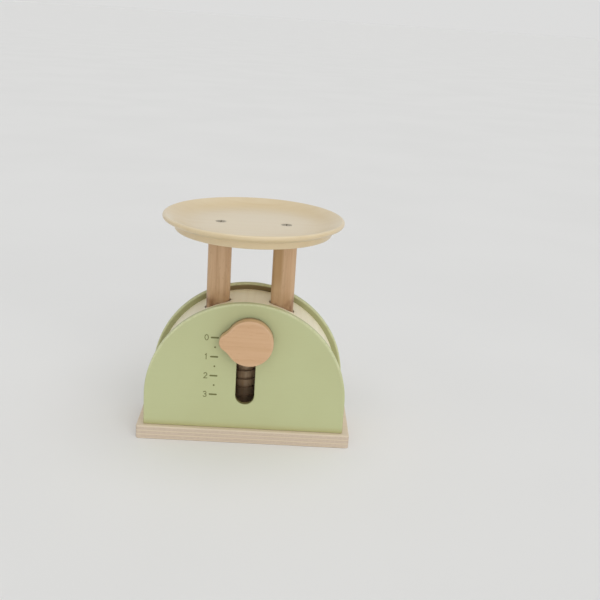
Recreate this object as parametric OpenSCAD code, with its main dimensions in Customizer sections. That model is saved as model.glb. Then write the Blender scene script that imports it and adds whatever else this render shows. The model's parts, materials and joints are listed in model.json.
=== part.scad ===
// Toy spring balance: a painted arch housing on a plywood base, and a dish on two
// posts that pushes a sprung crossbar and its pointer down along a printed scale.
// Millimetres, +Z up, front towards -Y. The origin is the middle of the base's underside.

/* [Housing] */
// Width of the front and back panels
panel_w = 187; // [181:1:195]
// Height of the straight part of the panels, under the half-round top
straight_h = 30; // [25:1:36]
// Thickness of the front and back panels
panel_t = 6; // [5:0.5:8]
// Clear depth between the two panels
inner_d = 59; // [52:1:66]
// Thickness of the bent cover strip
cover_t = 4; // [3:0.5:5]
// How far the cover strip lies below the panels' edges
cover_recess = 6; // [4:0.5:8]
// Depth of the panels' grooves that hold the cover strip
groove_depth = 2; // [1:0.5:3]

/* [Base] */
// Thickness of the base board
base_t = 13; // [11:0.5:18]
// Width of base board that shows beside the panels, each side
base_side_margin = 6.5; // [3:0.5:12]
// Depth of base board that shows in front of and behind the panels
base_front_margin = 4.5; // [2:0.5:10]
// Radius of the base board's upright corners
base_corner_r = 2.5; // [1:0.5:6]

/* [Scale and travel] */
// Travel of the dish and pointer, from the zero mark to the last mark
travel = 56; // [48:1:60]
// Distance from the top of the panels down to the zero mark
zero_drop = 34; // [33:0.5:36]
// Width of the pointer slot in the front panel
slot_w = 17.6; // [16.5:0.1:20]

/* [Posts] */
// Width of each post
post_w = 21.7; // [18:0.1:24]
// Thickness of each post, front to back
post_d = 11; // [10:0.5:14]
// Radius of the posts' long edges
post_edge_r = 4; // [1:0.5:4.5]
// Distance between the middles of the posts
post_pitch = 60; // [56:1:63]
// Gap at each end of the cover's post slots
post_end_gap = 1.5; // [1:0.1:3]
// Gap beside the posts in the cover's post slots
post_side_gap = 1.2; // [0.6:0.1:2]

/* [Dish] */
// Outer radius of the dish
dish_r = 83; // [76:1:90]
// Overall height of the dish
dish_h = 14; // [13:0.5:16]
// Radius of the dish's flat floor
dish_floor_r = 61; // [55:1:64]
// Thickness of the dish's floor
dish_floor_t = 6.5; // [6:0.5:8]
// Radius of the step under the dish
dish_foot_r = 72; // [68:1:75]
// Height of the step under the dish
dish_foot_h = 5.5; // [4:0.5:6.5]
// Thickness of the dish's rounded rim
dish_rim_t = 4.6; // [4:0.2:5.4]
// Room between the dish and the panels when the dish is pressed right down
dish_room = 4; // [3:0.5:8]

/* [Pointer] */
// Radius of the pointer's round body
pointer_r = 21.7; // [19:0.1:24]
// Thickness of the pointer
pointer_t = 12; // [10:0.5:14]
// Distance from the round body's middle to the tip of the nose
pointer_reach = 27.5; // [25:0.5:30]
// Radius of the pointer's nose
nose_r = 8; // [6:0.5:10]
// Radius of the hollow flanks between the nose and the round body
flank_r = 26; // [18:1:40]
// How far the round body's middle lies to the right of the slot
pointer_shift = 2.5; // [0:0.5:3]
// Gap between the pointer and the front panel
pointer_gap = 1.2; // [0.8:0.1:2]
// Diameter of the peg that carries the pointer
peg_dia = 12; // [10:0.5:13]

/* [Crossbar and guide] */
// Height of the crossbar
crossbar_h = 22; // [20:1:24]
// Distance from the peg's middle up to the crossbar's top face
peg_drop = 9; // [8:0.5:9.5]
// Wood left at each end of the crossbar beside a post
crossbar_end_t = 5; // [4:0.5:5.5]
// Depth of the mortises that hold the posts
mortise_depth = 12; // [9:0.5:13]
// Depth of the peg's seat in the crossbar
peg_seat_depth = 8; // [6:0.5:10]
// Wood left between the peg's seat and the guide bore
peg_wall_t = 2; // [1.5:0.5:4]
// Depth of the peg's seat in the pointer
peg_pointer_depth = 6; // [4:0.5:8]
// Diameter of the guide dowel
dowel_dia = 20; // [18:0.5:21]
// Radial running gap between the guide dowel and the crossbar's bore
running_gap = 0.08; // [0.05:0.01:0.1]
// Depth of the guide dowel's socket in the base board
dowel_socket_depth = 8; // [6:0.5:9]
// Depth of the guide dowel's socket in the bridge
bridge_socket_depth = 8; // [6:0.5:10]

/* [Spring] */
// Wire diameter of the spring
wire_dia = 1.2; // [0.9:0.1:1.3]
// Gap between the spring's coils and the guide dowel
spring_gap = 1.2; // [1.2:0.1:1.6]
// Number of open coils
open_coils = 8; // [6:1:8]
// Thickness of the two spring washers
washer_t = 1; // [0.8:0.1:1.2]
// Width of the spring washers' ring
washer_ring_w = 3.9; // [3:0.1:5]

/* [Inner blocks] */
// Width of each stop block, left to right
stop_block_w = 34; // [30:1:40]
// Width of each cleat inside the cover strip's ends
cleat_w = 12; // [10:0.5:16]
// Height of the cleats
cleat_h = 20; // [16:1:26]
// Diameter of the spacer dowels between the panels
spacer_dia = 10; // [8:0.5:12]
// Depth of the spacer dowels' seats in the panels
spacer_seat_depth = 2.5; // [1.5:0.5:3.5]

/* [Screws] */
// Head diameter of the dish screws
dish_screw_head = 10; // [8:0.5:11]
// Head diameter of the base and post screws
wood_screw_head = 8; // [6.5:0.5:9]
// Shank diameter of all screws
screw_dia = 3.6; // [3:0.1:4]
// Length of the dish screws
dish_screw_len = 24; // [18:1:32]
// Length of the post screws
post_screw_len = 26; // [20:1:34]
// Length of the base screws
base_screw_len = 24; // [20:1:26]

/* [Hidden] */
$fn = 96;
// Overrun of every cut past the face that it opens
over = 1;
// Gap around glued, seated and screwed pieces
seat_gap = 0.05;
// Gap between stops, ends and curved faces that meet
rest_gap = 0.25;

// Heights and places worked out from the sizes above
arch_r = panel_w / 2;
arch_z = base_t + straight_h;
panel_top_z = arch_z + arch_r;
inner_y = inner_d / 2;
front_y = -(inner_y + panel_t);
base_w = panel_w + 2 * base_side_margin;
base_d = inner_d + 2 * (panel_t + base_front_margin);
cover_r = arch_r - cover_recess;
cover_in_r = cover_r - cover_t;
zero_z = panel_top_z - zero_drop;
crossbar_top_z = zero_z + peg_drop;
crossbar_low_z = crossbar_top_z - crossbar_h;
crossbar_w = post_pitch + post_w + 2 * crossbar_end_t;
crossbar_half_d = dowel_dia / 2 + peg_wall_t + peg_seat_depth;
post_low_z = crossbar_top_z - mortise_depth;
dish_low_z = panel_top_z + travel + dish_room;
dish_floor_z = dish_low_z + dish_floor_t;
pointer_back_y = front_y - pointer_gap;
post_places = [-post_pitch / 2, post_pitch / 2];

// Bridge that holds the guide dowel's top, between the posts and under the cover
bridge_half_w = post_pitch / 2 - post_w / 2 - post_end_gap;
bridge_low_z = crossbar_top_z + rest_gap;
bridge_top_z = arch_z + sqrt(pow(cover_in_r, 2) - pow(bridge_half_w, 2)) - rest_gap;
dowel_top_z = bridge_low_z + bridge_socket_depth;

// Stop blocks under the crossbar's lowest place, and how far out their screws stand
stop_screw_share = 0.6;
stop_top_z = crossbar_low_z - travel - rest_gap;
stop_x = post_pitch / 2 + post_w / 2;
stop_screw_y = inner_y * stop_screw_share;
cleat_x = cover_in_r - cleat_w / 2;

// Spacer dowels halfway up the arch's shoulders
spacer_angle = 31;
spacer_reach = cover_in_r - spacer_dia;
spacer_x = spacer_reach * cos(spacer_angle);
spacer_z = arch_z + spacer_reach * sin(spacer_angle);

// Spring between its washers: one closed coil, the open coils and one closed coil
spring_low_z = base_t + washer_t + rest_gap;
spring_high_z = crossbar_low_z - washer_t - rest_gap;
wire_r = wire_dia / 2;
spring_r = dowel_dia / 2 + spring_gap + wire_r;
closed_gap = 0.5;
closed_pitch = wire_dia + closed_gap;
spring_run = spring_high_z - spring_low_z - wire_dia;
open_pitch = (spring_run - 2 * closed_pitch) / open_coils;
spring_turns = open_coils + 2;
// The wire starts on the left
coil_start_angle = 180;
rings_per_turn = 8;
wire_sides = 6;
ring_count = spring_turns * rings_per_turn + 1;
washer_r = dowel_dia / 2 + washer_ring_w;
washer_hole_r = dowel_dia / 2 + rest_gap;

// Rounding under the dish's foot, as a share of the foot's height
foot_edge_share = 0.3;

// Screw proportions: head cone height, drive cross and point, as shares of the screw
head_cone_share = 0.5;
cross_length_share = 0.62;
cross_width_share = 0.13;
cross_depth_share = 0.24;
point_share = 1.2;

// A rectangle in the XY plane with rounded corners, centred
module rounded_plate_2d(w, d, r) {
  square([w, d - 2 * r], center = true);
  square([w - 2 * r, d], center = true);
  for (x = [-1, 1], y = [-1, 1])
    translate([x * (w / 2 - r), y * (d / 2 - r)]) circle(r);
}

// A slot with round ends, centred, along X
module slot_2d(length, width) {
  square([length - width, width], center = true);
  for (x = [-1, 1])
    translate([x * (length - width) / 2, 0]) circle(d = width);
}

// The housing's outline seen from the front: a half-round of radius r on straight
// sides, which may run on below the panels by drop
module arch_2d(r, drop = 0) {
  translate([-r, base_t - drop]) square([2 * r, straight_h + drop]);
  intersection() {
    translate([0, arch_z]) circle(r);
    translate([-r, arch_z]) square([2 * r, r]);
  }
}

// Stands a front-view outline up, with thickness t running back from y
module standing(y, t) {
  translate([0, y + t, 0]) rotate([90, 0, 0]) linear_extrude(t) children();
}

// The cover strip seen from the front
module cover_2d() {
  difference() {
    arch_2d(cover_r);
    arch_2d(cover_in_r, over);
  }
}

// The groove that the strip sits in, with a little room on both sides
module groove_2d() {
  difference() {
    arch_2d(cover_r + seat_gap, over);
    arch_2d(cover_in_r - seat_gap, 2 * over);
  }
}

// One arch panel: its inner face is towards the middle, with the cover's groove
// and the spacer dowels' seats cut into it
module arch_panel(inner_face_y, side) {
  outer_y = inner_face_y + side * panel_t;
  cut_y = inner_face_y + side * groove_depth;
  seat_y = inner_face_y + side * spacer_seat_depth;
  difference() {
    standing(min(inner_face_y, outer_y), panel_t) arch_2d(arch_r);
    standing(min(inner_face_y - side * over, cut_y), groove_depth + over) groove_2d();
    for (x = [-spacer_x, spacer_x])
      standing(min(inner_face_y - side * over, seat_y), spacer_seat_depth + over)
        translate([x, spacer_z]) circle(spacer_dia / 2 + seat_gap);
  }
}

// The countersunk seat and the pilot hole of a screw that points up from the origin
module screw_seat(head, length) {
  cone_h = head * head_cone_share;
  translate([0, 0, -over]) cylinder(h = over, d = head + 2 * seat_gap);
  cylinder(h = cone_h, d1 = head + 2 * seat_gap, d2 = 2 * seat_gap);
  cylinder(h = length + seat_gap, d = screw_dia + 2 * seat_gap);
}

// A countersunk wood screw that points up from the origin, with a cross drive
module wood_screw(head, length) {
  cone_h = head * head_cone_share;
  point_h = screw_dia * point_share;
  cross_l = head * cross_length_share;
  cross_w = head * cross_width_share;
  cross_h = head * cross_depth_share;
  difference() {
    union() {
      cylinder(h = cone_h, d1 = head, d2 = 0);
      cylinder(h = length - point_h, d = screw_dia);
      translate([0, 0, length - point_h]) cylinder(h = point_h, d1 = screw_dia, d2 = 0);
    }
    for (turn = [0, 90])
      rotate(turn) translate([-cross_l / 2, -cross_w / 2, -over]) cube([cross_l, cross_w, cross_h + over]);
  }
}

// Places of the base screws: two in each stop block and one in each cleat
base_screw_places = [
  for (x = [-stop_x, stop_x], y = [-stop_screw_y, stop_screw_y]) [x, y],
  [-cleat_x, 0],
  [cleat_x, 0]
];

module base_screw_seats() {
  for (p = base_screw_places) translate([p[0], p[1], 0]) screw_seat(wood_screw_head, base_screw_len);
}

module base_board() {
  color("burlywood")
    difference() {
      linear_extrude(base_t) rounded_plate_2d(base_w, base_d, base_corner_r);
      translate([0, 0, base_t - dowel_socket_depth])
        cylinder(h = dowel_socket_depth + over, r = dowel_dia / 2 + seat_gap);
      base_screw_seats();
    }
}

module front_panel() {
  color("darkseagreen")
    difference() {
      arch_panel(-inner_y, -1);
      translate([0, 0, zero_z - travel / 2]) pointer_slot();
    }
}

// The slot runs from the zero mark to the last mark, with round ends
module pointer_slot() {
  translate([0, -inner_y + over, 0]) rotate([90, 0, 0])
    linear_extrude(panel_t + 2 * over) rotate(90) slot_2d(travel + slot_w, slot_w);
}

module back_panel() {
  color("darkseagreen") arch_panel(inner_y, 1);
}

module arch_cover() {
  cover_half_d = inner_y + groove_depth - seat_gap;
  color("wheat")
    difference() {
      standing(-cover_half_d, 2 * cover_half_d) cover_2d();
      for (x = post_places)
        translate([x, 0, arch_z])
          linear_extrude(arch_r) slot_2d(post_w + 2 * post_end_gap, post_d + 2 * post_side_gap);
    }
}

module guide_dowel() {
  low_z = base_t - dowel_socket_depth + seat_gap;
  color("tan") translate([0, 0, low_z]) cylinder(h = dowel_top_z - seat_gap - low_z, d = dowel_dia);
}

module dowel_bridge() {
  color("burlywood")
    difference() {
      translate([-bridge_half_w, -inner_y + seat_gap, bridge_low_z])
        cube([2 * bridge_half_w, inner_d - 2 * seat_gap, bridge_top_z - bridge_low_z]);
      translate([0, 0, bridge_low_z - over])
        cylinder(h = bridge_socket_depth + over, r = dowel_dia / 2 + seat_gap);
    }
}

module stop_block(x) {
  color("burlywood")
    difference() {
      translate([x - stop_block_w / 2, -inner_y + seat_gap, base_t])
        cube([stop_block_w, inner_d - 2 * seat_gap, stop_top_z - base_t]);
      base_screw_seats();
    }
}

module cover_cleat(side) {
  inner_x = cover_in_r - seat_gap;
  low_x = side > 0 ? inner_x - cleat_w : -inner_x;
  color("burlywood")
    difference() {
      translate([low_x, -inner_y + seat_gap, base_t]) cube([cleat_w, inner_d - 2 * seat_gap, cleat_h]);
      base_screw_seats();
    }
}

module spacer_dowel(x) {
  half_d = inner_y + spacer_seat_depth - seat_gap;
  color("burlywood")
    translate([x, half_d, spacer_z]) rotate([90, 0, 0]) cylinder(h = 2 * half_d, d = spacer_dia);
}

module base_screws() {
  color("dimgray")
    for (p = base_screw_places) translate([p[0], p[1], 0]) wood_screw(wood_screw_head, base_screw_len);
}

module washer(low_z) {
  color("silver")
    translate([0, 0, low_z])
      difference() {
        cylinder(h = washer_t, r = washer_r);
        translate([0, 0, -over]) cylinder(h = washer_t + 2 * over, r = washer_hole_r);
      }
}

// Height of the wire's middle after some turns: the first and last turn lie closed
function coil_z(turn) =
  spring_low_z + wire_r
  + min(turn, 1) * closed_pitch
  + max(0, min(turn - 1, open_coils)) * open_pitch
  + max(0, turn - 1 - open_coils) * closed_pitch;

function coil_angle(turn) = coil_start_angle + 360 * turn;

function coil_point(turn) =
  [spring_r * cos(coil_angle(turn)), spring_r * sin(coil_angle(turn)), coil_z(turn)];

// A point of the wire's surface, on the ring that stands square to the coil
function wire_point(turn, side) =
  let (out = wire_r * cos(360 * side / wire_sides), up = wire_r * sin(360 * side / wire_sides))
  [
    (spring_r + out) * cos(coil_angle(turn)),
    (spring_r + out) * sin(coil_angle(turn)),
    coil_z(turn) + up
  ];

module spring() {
  points = [
    for (i = [0 : ring_count - 1], s = [0 : wire_sides - 1]) wire_point(i / rings_per_turn, s)
  ];
  walls = [
    for (i = [0 : ring_count - 2], s = [0 : wire_sides - 1])
      let (a = i * wire_sides + s, b = i * wire_sides + (s + 1) % wire_sides)
      each [[a, b, b + wire_sides], [a, b + wire_sides, a + wire_sides]]
  ];
  last = (ring_count - 1) * wire_sides;
  caps = [
    for (s = [1 : wire_sides - 2]) each [[0, s + 1, s], [last, last + s, last + s + 1]]
  ];
  color("dimgray") polyhedron(points, concat(walls, caps), convexity = 10);
}

// The spring's least gap to itself, measured between points about a turn apart
steps_per_turn = 40;
nearby_steps = 8;
spring_gaps = [
  for (i = [0 : spring_turns * steps_per_turn], j = [-nearby_steps : nearby_steps])
    let (a = i / steps_per_turn, b = (i + steps_per_turn + j) / steps_per_turn)
    if (b <= spring_turns) norm(coil_point(b) - coil_point(a)) - wire_dia
];
echo(spring_least_gap = min(spring_gaps));

// The dish's section: a stepped foot, a sloping wall that runs into a rounded rim,
// and a flat floor
module dish_section() {
  rim_r = dish_rim_t / 2;
  rim_x = dish_r - rim_r;
  rim_z = dish_h - rim_r;
  foot_edge_r = dish_foot_h * foot_edge_share;
  // The wall leaves the floor's edge and touches the rim's round
  reach_x = rim_x - dish_floor_r;
  reach_z = rim_z - dish_floor_t;
  reach = norm([reach_x, reach_z]);
  wall_angle = atan2(reach_z, reach_x) + asin(rim_r / reach);
  wall_run = sqrt(pow(reach, 2) - pow(rim_r, 2));
  wall_top = [dish_floor_r + wall_run * cos(wall_angle), dish_floor_t + wall_run * sin(wall_angle)];
  translate([dish_foot_r - foot_edge_r, foot_edge_r]) circle(foot_edge_r);
  translate([rim_x, rim_z]) circle(rim_r);
  polygon([
    [0, 0],
    [dish_foot_r - foot_edge_r, 0],
    [dish_foot_r, foot_edge_r],
    [dish_foot_r, dish_foot_h],
    [rim_x, dish_h - dish_rim_t],
    [rim_x, dish_h],
    wall_top,
    [dish_floor_r, dish_floor_t],
    [0, dish_floor_t]
  ]);
}

module dish() {
  color("moccasin")
    difference() {
      translate([0, 0, dish_low_z]) rotate_extrude() dish_section();
      for (x = post_places) translate([x, 0, dish_floor_z]) mirror([0, 0, 1])
        screw_seat(dish_screw_head, dish_screw_len);
    }
}

module dish_screws() {
  color("dimgray")
    for (x = post_places) translate([x, 0, dish_floor_z]) mirror([0, 0, 1])
      wood_screw(dish_screw_head, dish_screw_len);
}

module post(x) {
  color("tan")
    difference() {
      translate([x, 0, post_low_z]) linear_extrude(dish_low_z - post_low_z)
        rounded_plate_2d(post_w, post_d, post_edge_r);
      translate([x, 0, dish_floor_z]) mirror([0, 0, 1]) screw_seat(dish_screw_head, dish_screw_len);
      translate([x, 0, crossbar_low_z]) screw_seat(wood_screw_head, post_screw_len);
    }
}

module crossbar() {
  color("burlywood")
    difference() {
      translate([-crossbar_w / 2, -crossbar_half_d, crossbar_low_z])
        cube([crossbar_w, 2 * crossbar_half_d, crossbar_h]);
      translate([0, 0, crossbar_low_z - over])
        cylinder(h = crossbar_h + 2 * over, r = dowel_dia / 2 + running_gap);
      for (x = post_places) {
        translate([x, 0, post_low_z]) linear_extrude(mortise_depth + over)
          rounded_plate_2d(post_w + 2 * seat_gap, post_d + 2 * seat_gap, post_edge_r + seat_gap);
        translate([x, 0, crossbar_low_z]) screw_seat(wood_screw_head, post_screw_len);
      }
      translate([0, -crossbar_half_d + peg_seat_depth, zero_z]) rotate([90, 0, 0])
        cylinder(h = peg_seat_depth + over, r = peg_dia / 2 + seat_gap);
    }
}

module post_screws() {
  color("dimgray")
    for (x = post_places) translate([x, 0, crossbar_low_z]) wood_screw(wood_screw_head, post_screw_len);
}

// The pointer's outline about the middle of its round body: the body and the nose are
// circles, and hollow flanks that touch both circles join them
module pointer_2d() {
  nose_x = pointer_reach - nose_r;
  body_flank = pointer_r + flank_r;
  nose_flank = nose_r + flank_r;
  flank_x = (pow(body_flank, 2) - pow(nose_flank, 2) + pow(nose_x, 2)) / (2 * nose_x);
  flank_z = sqrt(pow(body_flank, 2) - pow(flank_x, 2));
  circle(pointer_r);
  translate([-nose_x, 0]) circle(nose_r);
  difference() {
    polygon([
      [0, 0],
      [-flank_x * pointer_r / body_flank, flank_z * pointer_r / body_flank],
      [-nose_x + (nose_x - flank_x) * nose_r / nose_flank, flank_z * nose_r / nose_flank],
      [-nose_x + (nose_x - flank_x) * nose_r / nose_flank, -flank_z * nose_r / nose_flank],
      [-flank_x * pointer_r / body_flank, -flank_z * pointer_r / body_flank]
    ]);
    for (z = [-flank_z, flank_z]) translate([-flank_x, z]) circle(flank_r);
  }
}

module pointer() {
  color("burlywood")
    difference() {
      translate([pointer_shift, pointer_back_y, zero_z]) rotate([90, 0, 0])
        linear_extrude(pointer_t) pointer_2d();
      translate([0, pointer_back_y + over, zero_z]) rotate([90, 0, 0])
        cylinder(h = peg_pointer_depth + over, r = peg_dia / 2 + seat_gap);
    }
}

module pointer_peg() {
  back_y = -crossbar_half_d + peg_seat_depth - seat_gap;
  peg_front_y = pointer_back_y - peg_pointer_depth + seat_gap;
  color("tan")
    translate([0, back_y, zero_z]) rotate([90, 0, 0]) cylinder(h = back_y - peg_front_y, d = peg_dia);
}

base_board();
front_panel();
back_panel();
arch_cover();
guide_dowel();
dowel_bridge();
stop_block(-stop_x);  // left_stop_block
stop_block(stop_x);  // right_stop_block
cover_cleat(-1);  // left_cover_cleat
cover_cleat(1);  // right_cover_cleat
spacer_dowel(-spacer_x);  // left_spacer_dowel
spacer_dowel(spacer_x);  // right_spacer_dowel
base_screws();
washer(base_t);  // lower_washer
spring();
dish();
dish_screws();
post(-post_pitch / 2);  // left_post
post(post_pitch / 2);  // right_post
crossbar();
post_screws();
pointer();
pointer_peg();
washer(crossbar_low_z - washer_t);  // upper_washer
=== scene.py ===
"""Looks of a wooden toy spring scale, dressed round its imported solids. All lengths are in metres."""

import json
import math

import bmesh
import bpy
from mathutils import Matrix, Vector


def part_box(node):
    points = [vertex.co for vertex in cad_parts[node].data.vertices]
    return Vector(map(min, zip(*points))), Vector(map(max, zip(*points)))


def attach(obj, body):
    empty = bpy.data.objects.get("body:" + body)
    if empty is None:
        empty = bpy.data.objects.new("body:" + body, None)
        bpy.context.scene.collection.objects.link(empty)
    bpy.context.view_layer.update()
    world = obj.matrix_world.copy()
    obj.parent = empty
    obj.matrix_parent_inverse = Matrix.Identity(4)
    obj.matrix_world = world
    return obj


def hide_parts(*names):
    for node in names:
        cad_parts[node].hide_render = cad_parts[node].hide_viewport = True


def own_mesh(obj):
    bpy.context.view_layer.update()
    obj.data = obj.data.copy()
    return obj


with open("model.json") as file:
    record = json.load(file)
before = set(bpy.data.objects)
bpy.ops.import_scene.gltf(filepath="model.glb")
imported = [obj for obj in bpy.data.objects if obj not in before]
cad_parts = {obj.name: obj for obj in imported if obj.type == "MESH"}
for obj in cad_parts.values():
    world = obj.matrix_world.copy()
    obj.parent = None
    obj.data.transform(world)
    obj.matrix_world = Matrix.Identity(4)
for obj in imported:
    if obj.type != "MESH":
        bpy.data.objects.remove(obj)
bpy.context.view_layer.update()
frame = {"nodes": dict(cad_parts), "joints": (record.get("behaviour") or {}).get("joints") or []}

MM = 0.001

# Bodies and the joint
HOUSING = "housing"
CARRIAGE = "carriage"
JOINT = frame["joints"][0]
TRAVEL = -JOINT["range_m"][0]

# Boxes of the solids that the pieces take their places from
BASE_LOW, BASE_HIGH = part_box("base_board")
FRONT_LOW, FRONT_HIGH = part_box("front_panel")
BACK_LOW, BACK_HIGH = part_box("back_panel")
COVER_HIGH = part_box("arch_cover")[1]
DISH_LOW, DISH_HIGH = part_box("dish")
POINTER_LOW, POINTER_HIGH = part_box("pointer")
SPRING_LOW, SPRING_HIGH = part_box("spring")

# Housing
ARCH_R = FRONT_HIGH.x
ARCH_Z = FRONT_HIGH.z - ARCH_R
PANEL_EDGE_R = 0.9 * MM
SLOT_W = 17.6 * MM
ZERO_Z = (POINTER_LOW.z + POINTER_HIGH.z) / 2
ARCH_STEPS = 96
SLOT_STEPS = 20

# Paint: where the arch's edge is worn and lighter with a painted highlight, by radius and by
# height, and the yellow painted shade at the foot. Painted shade and shadow on the back panel
# above the cover leave the panel's edge clean, are dark near the cover, and turn from brown to green
# sideways.
WORN_AND_LIT_EDGE_R = (70 * MM, 85 * MM)
WORN_AND_LIT_EDGE_Z = (50 * MM, 85 * MM)
FOOT_SHADE_TOP = 20 * MM
CORNER_CLEAN = 0.5 * MM
CORNER_DARK = 3.6 * MM
CORNER_X = (25 * MM, 60 * MM)
PAINT_RELIEF = 0.02 * MM

# Base board
BASE_CORNER_R = 2.5 * MM
BASE_EDGE_R = 1.0 * MM
PLY_COUNT = 7
PLY_RELIEF = 0.025 * MM

# Cover strip
COVER_T = 4 * MM
COVER_PLY_COUNT = 3

# Dish
DISH_R = DISH_HIGH.x
DISH_FLOOR_R = 61 * MM
DISH_FLOOR_T = 6.5 * MM
DISH_FOOT_R = 72 * MM
DISH_FOOT_H = 5.5 * MM
DISH_RIM_T = 4.6 * MM
DISH_STEPS = 160
RIM_STEPS = 22
RIM_START = -80
FLOOR_BLEND_R = 45 * MM
FLOOR_BLEND_STEPS = 10
FOOT_EDGE_R = 1.4 * MM
DISH_FLAT_R = 46 * MM
# Height from the rim's top that takes the painted highlight
RIM_HIGHLIGHT_H = 0.9 * MM

# Dish finish: where the colour turns warmer with painted bounce light between the walls, how far that
# line wanders, and turning marks
WARM_R = (DISH_FLOOR_R - 16 * MM, DISH_FLOOR_R + 12 * MM)
WARM_WANDER = 6 * MM
TURNING_PITCH = 0.9 * MM
DISH_RELIEF = 0.01 * MM

# Posts
POST_EDGE_R = 4 * MM
POST_END_R = 0.5 * MM

# Post finish: rubbing marks with painted shade by the cover, and the right post's heartwood with
# painted shade and sapwood with painted light
RUB_AND_SHADE_Z = (143 * MM, 126 * MM)
HEART_SHADE_X = (31 * MM, 27 * MM)
HEART_SHADE_Z = (132 * MM, 158 * MM)
SAP_LIGHT_X = (31 * MM, 34 * MM)
HEART_SHADE_WANDER = 2 * MM

# Pointer
NOSE_R = 8 * MM
FLANK_R = 26 * MM
POINTER_EDGE_R = 0.8 * MM
BODY_STEPS = 64
NOSE_STEPS = 24
FLANK_STEPS = 10
# Depth band of the painted shadow on the pointer's back edge, by the panel
GAP_SHADOW_Y = (POINTER_HIGH.y - 7 * MM, POINTER_HIGH.y - 1 * MM)

# Spring
WIRE_R = 0.6 * MM
COIL_R = SPRING_HIGH.x - WIRE_R
OPEN_COILS = 8
CLOSED_PITCH = 1.7 * MM
COIL_START = math.pi
COIL_STEPS = 40
WIRE_SIDES = 12

# Guide dowel: heights where the painted shade begins and where it is full
DOWEL_SHADE_Z = (52 * MM, 40 * MM)

# Screws
SCREW_D = 3.6 * MM
DISH_SCREW_HEAD = 10 * MM
DISH_SCREW_X = 30 * MM
BASE_SCREW_HEAD = 8 * MM
BLOCK_SCREW = (40.85 * MM, 17.7 * MM)
CLEAT_SCREW_X = 77.5 * MM
BASE_SCREWS = [(x * BLOCK_SCREW[0], y * BLOCK_SCREW[1]) for x in (-1, 1) for y in (-1, 1)]
BASE_SCREWS += [(-CLEAT_SCREW_X, 0), (CLEAT_SCREW_X, 0)]
SCREW_STEPS = 32
HOLE_EDGE_R = 0.15 * MM

# Printed scale
PRINT_T = 0.08 * MM
PRINT_LIFT = 0.02 * MM
TICK_RIGHT_X = -25.8 * MM
TICK_LENGTH = 7.5 * MM
TICK_W = 1.55 * MM
DOT_X = -29 * MM
DOT_R = 0.85 * MM
DIGIT_X = -37.0 * MM
DIGIT_H = 5.9 * MM
DIGIT_W = 3.8 * MM
DIGIT_STROKE = 0.7 * MM
DIGIT_STEPS = 16
ZERO_STEPS = 32
DOT_STEPS = 16
CAP_STEPS = 6
MARK_COUNT = 4

# Rounding: steps of a quarter round on edges and on upright corners, how far in from an edge
# the worn look and painted highlight reach, the share of that on a plate's side faces, and the angle
# that is shaded as sharp
EDGE_STEPS = 4
CORNER_STEPS = 8
WORN_AND_HIGHLIGHT_REACH = 1.6 * MM
WORN_AND_HIGHLIGHT_SIDE_SHARE = 0.9
SHARP_ANGLE = 50

# Wood texture scales per metre, across and along the grain
RING_WANDER_SCALE = (22, 2.5)
STREAK_SCALE = (160, 5)
FIBRE_SCALE = (1400, 45)
FLECK_SCALE = (900, 190)
HEART_SHADE_SCALE = (60, 8)
RUB_AND_SHADE_SCALE = (130, 60)

# How far rings wander, in ring widths, and how far one unit of a wood's shift moves them
RING_WANDER = 5
RING_SHIFT = 10 * MM

# Relief: the height that a texture's 1 stands for
WOOD_RELIEF = 0.02 * MM
ROUGH_WOOD_RELIEF = 0.05 * MM
SCRATCH_RELIEF = 0.006 * MM


def srgb(red, green, blue):
    """A linear colour from 0 to 255 display values."""
    shares = (red / 255, green / 255, blue / 255)
    linear = [s / 12.92 if s <= 0.04045 else ((s + 0.055) / 1.055) ** 2.4 for s in shares]
    return (*linear, 1.0)


# Colours

PAINT = srgb(197, 202, 154)
PAINT_CLOUD = srgb(193, 196, 148)
PAINT_FIBRE = srgb(186, 190, 142)
# Lighter edge colour: thinned paint and a painted highlight
THIN_PAINT_AND_HIGHLIGHT = srgb(219, 222, 182)
CHIPPED_WOOD = srgb(214, 196, 160)
# Painted shade on the slot's wall
SLOT_SHADE_OLIVE = srgb(140, 132, 84)
# Painted shade at the panels' foot, by the base
FOOT_SHADE_YELLOW = srgb(176, 166, 106)
# Painted shadow and shade in the back panel's corner by the cover
CORNER_SHADOW_BROWN = srgb(112, 90, 54)
CORNER_SHADE_GREEN = srgb(128, 122, 74)
INK = srgb(110, 112, 62)
THIN_INK = srgb(140, 144, 92)
# Sapwood and heartwood colours, which also carry painted light and painted shade on the right post
SAPWOOD_AND_LIGHT = srgb(230, 192, 152)
HEARTWOOD_AND_SHADE = srgb(172, 134, 80)
# Rubbing marks and painted shade at the posts' feet
RUB_AND_SHADE_BROWN = srgb(136, 94, 60)
# Painted shade on the dowel's lower part
DOWEL_SHADE_BROWN = srgb(96, 76, 60)
# Painted shadow on the pointer's back edge
POINTER_GAP_SHADOW = srgb(100, 84, 50)
# Painted highlight on the dish rim's top
RIM_HIGHLIGHT_CREAM = srgb(234, 220, 190)
GLUE_LINE = srgb(164, 138, 114)
FLOOR_PALE = srgb(237, 237, 236)
FLOOR_CLOUD = srgb(235, 235, 234)


# Outlines

def arc(centre, radius, start, end, steps):
    """Points on an arc, both ends included, with angles in degrees."""
    angles = [math.radians(start + (end - start) * i / steps) for i in range(steps + 1)]
    return [(centre[0] + radius * math.cos(a), centre[1] + radius * math.sin(a)) for a in angles]


def circle(centre, radius, steps):
    """Points round a whole circle, counter-clockwise."""
    return arc(centre, radius, 0, 360, steps)[:-1]


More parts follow.
